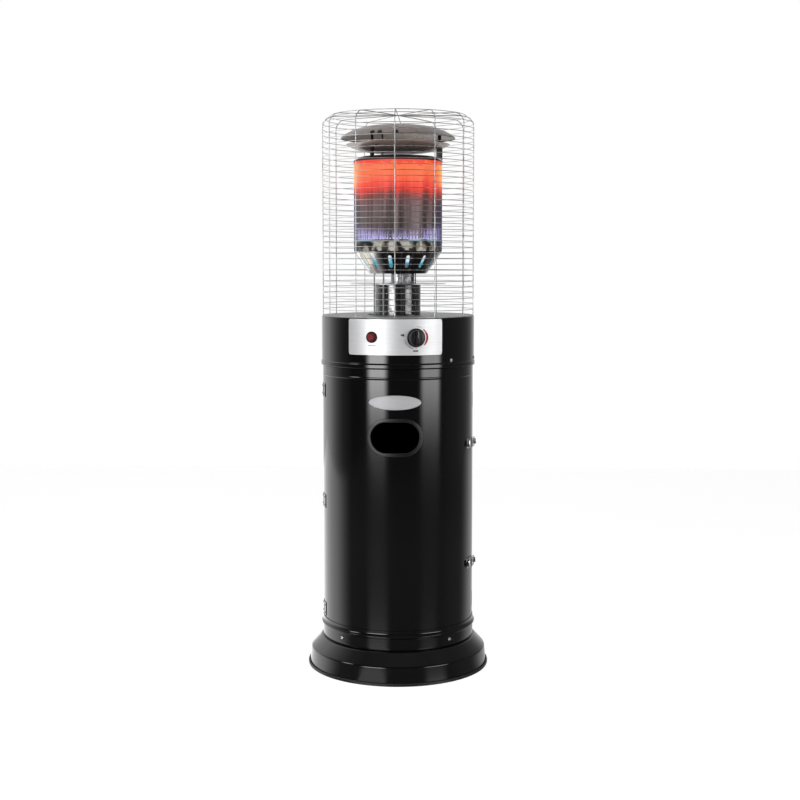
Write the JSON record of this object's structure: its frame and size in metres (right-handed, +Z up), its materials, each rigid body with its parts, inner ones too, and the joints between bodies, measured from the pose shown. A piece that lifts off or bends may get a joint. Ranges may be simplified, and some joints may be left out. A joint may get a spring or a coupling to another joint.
{
  "type": "patio heater",
  "caption": "Free-standing gas patio heater: round black bottle housing with a hinged door, control collar, and a radiant burner with reflectors inside a wire guard.",
  "frame": {"origin": "centre of the base trim's underside, on the floor", "axes": "+Z up, -Y towards the front, where the controls are, and +X to the right as seen from the front"},
  "size_m": [0.445, 0.445, 1.348],
  "materials": {
    "gloss_black": "gloss",
    "black_plastic": "satin",
    "rubber": "matte",
    "deck_grey": "satin",
    "brushed_steel": "brushed",
    "zinc": "bright plated",
    "wire": "bright plated",
    "heat_steel": "polished, heat tinted",
    "polished_steel": "polished",
    "glowing_steel": "perforated, glowing",
    "dark_steel": "heat darkened",
    "aluminium": "satin",
    "brass": "machined",
    "copper": "drawn",
    "button_red": "gloss"
  },
  "bodies": {
    "housing": {"base_edge_trim": "rubber", "base_pan": "gloss_black", "lower_collar": "gloss_black", "lower_collar_screw_left": "zinc", "lower_collar_screw_right": "zinc", "rear_shell": "gloss_black", "upper_collar": "gloss_black", "upper_collar_screw_front": "zinc", "upper_collar_screw_side": "zinc", "hinge_top_shell_leaf": "gloss_black", "hinge_top_pin": "zinc", "hinge_middle_shell_leaf": "gloss_black", "hinge_middle_pin": "zinc", "hinge_bottom_shell_leaf": "gloss_black", "hinge_bottom_pin": "zinc", "latch_upper_catch": "zinc", "latch_lower_catch": "zinc", "control_panel": "brushed_steel", "gas_valve": "aluminium", "igniter_body": "black_plastic", "tilt_switch": "black_plastic", "deck_plate": "deck_grey", "air_shroud": "dark_steel", "heat_baffle": "polished_steel", "burner_leg_front": "aluminium", "burner_leg_rear": "aluminium", "burner_leg_side": "aluminium", "burner_jet": "brass", "mixing_tube": "aluminium", "burner_head": "dark_steel", "main_gas_tube": "copper", "pilot_gas_tube": "aluminium", "pilot_burner": "brass", "thermocouple": "copper", "ignition_electrode": "dark_steel", "burner_cone": "polished_steel", "emitter_screen": "glowing_steel", "emitter_lid": "dark_steel", "reflector_strap_right": "dark_steel", "reflector_strap_left": "dark_steel", "reflector_strap_rear": "dark_steel", "lower_reflector": "heat_steel", "upper_reflector": "heat_steel", "wire_guard": "wire"},
    "door": {"front_door": "gloss_black", "window_trim": "black_plastic", "badge_plate": "aluminium", "hinge_top_door_leaf": "gloss_black", "hinge_middle_door_leaf": "gloss_black", "hinge_bottom_door_leaf": "gloss_black", "latch_upper_plate": "zinc", "latch_lower_plate": "zinc"},
    "plunger": {"valve_plunger": "brass"},
    "knob": {"control_knob": "black_plastic", "knob_spindle": "zinc"},
    "igniter_button": {"igniter_button": "button_red"},
    "latch_upper_lever": {"latch_upper_lever": "zinc"},
    "latch_upper_bail": {"latch_upper_bail": "zinc"},
    "latch_lower_lever": {"latch_lower_lever": "zinc"},
    "latch_lower_bail": {"latch_lower_bail": "zinc"}
  },
  "joints": [
    {"name": "door_hinge", "type": "hinge", "parent": "housing", "child": "door", "pos_m": [-0.17939, -0.03813, 0.41], "axis": [0, 0, 1], "range_deg": [-110, 0]},
    {"name": "knob_press", "type": "slide", "parent": "housing", "child": "plunger", "axis": [-0.2588, 0.9659, 0], "range_m": [0, 0.003], "stiffness_N_per_m": 2000},
    {"name": "knob_turn", "type": "hinge", "parent": "plunger", "child": "knob", "pos_m": [0.04827, -0.18014, 0.8165], "axis": [0.2588, -0.9659, 0], "range_deg": [0, 200]},
    {"name": "igniter_press", "type": "slide", "parent": "housing", "child": "igniter_button", "axis": [0.2874, 0.9578, 0], "range_m": [0, 0.004], "stiffness_N_per_m": 3000},
    {"name": "latch_upper_lever_turn", "type": "hinge", "parent": "door", "child": "latch_upper_lever", "pos_m": [0.18243, -0.05128, 0.555], "axis": [0, 0, 1], "range_deg": [0, 150]},
    {"name": "latch_upper_bail_turn", "type": "hinge", "parent": "latch_upper_lever", "child": "latch_upper_bail", "pos_m": [0.18102, -0.05629, 0.555], "axis": [0, 0, 1], "range_deg": [-150, 0]},
    {"name": "latch_lower_lever_turn", "type": "hinge", "parent": "door", "child": "latch_lower_lever", "pos_m": [0.18243, -0.05128, 0.2605], "axis": [0, 0, 1], "range_deg": [0, 150]},
    {"name": "latch_lower_bail_turn", "type": "hinge", "parent": "latch_lower_lever", "child": "latch_lower_bail", "pos_m": [0.18102, -0.05629, 0.2605], "axis": [0, 0, 1], "range_deg": [-150, 0]}
  ],
  "couplings": [
    {"joint": "latch_upper_bail_turn", "follows": "latch_upper_lever_turn", "ratio": -1},
    {"joint": "latch_lower_bail_turn", "follows": "latch_lower_lever_turn", "ratio": -1}
  ]
}
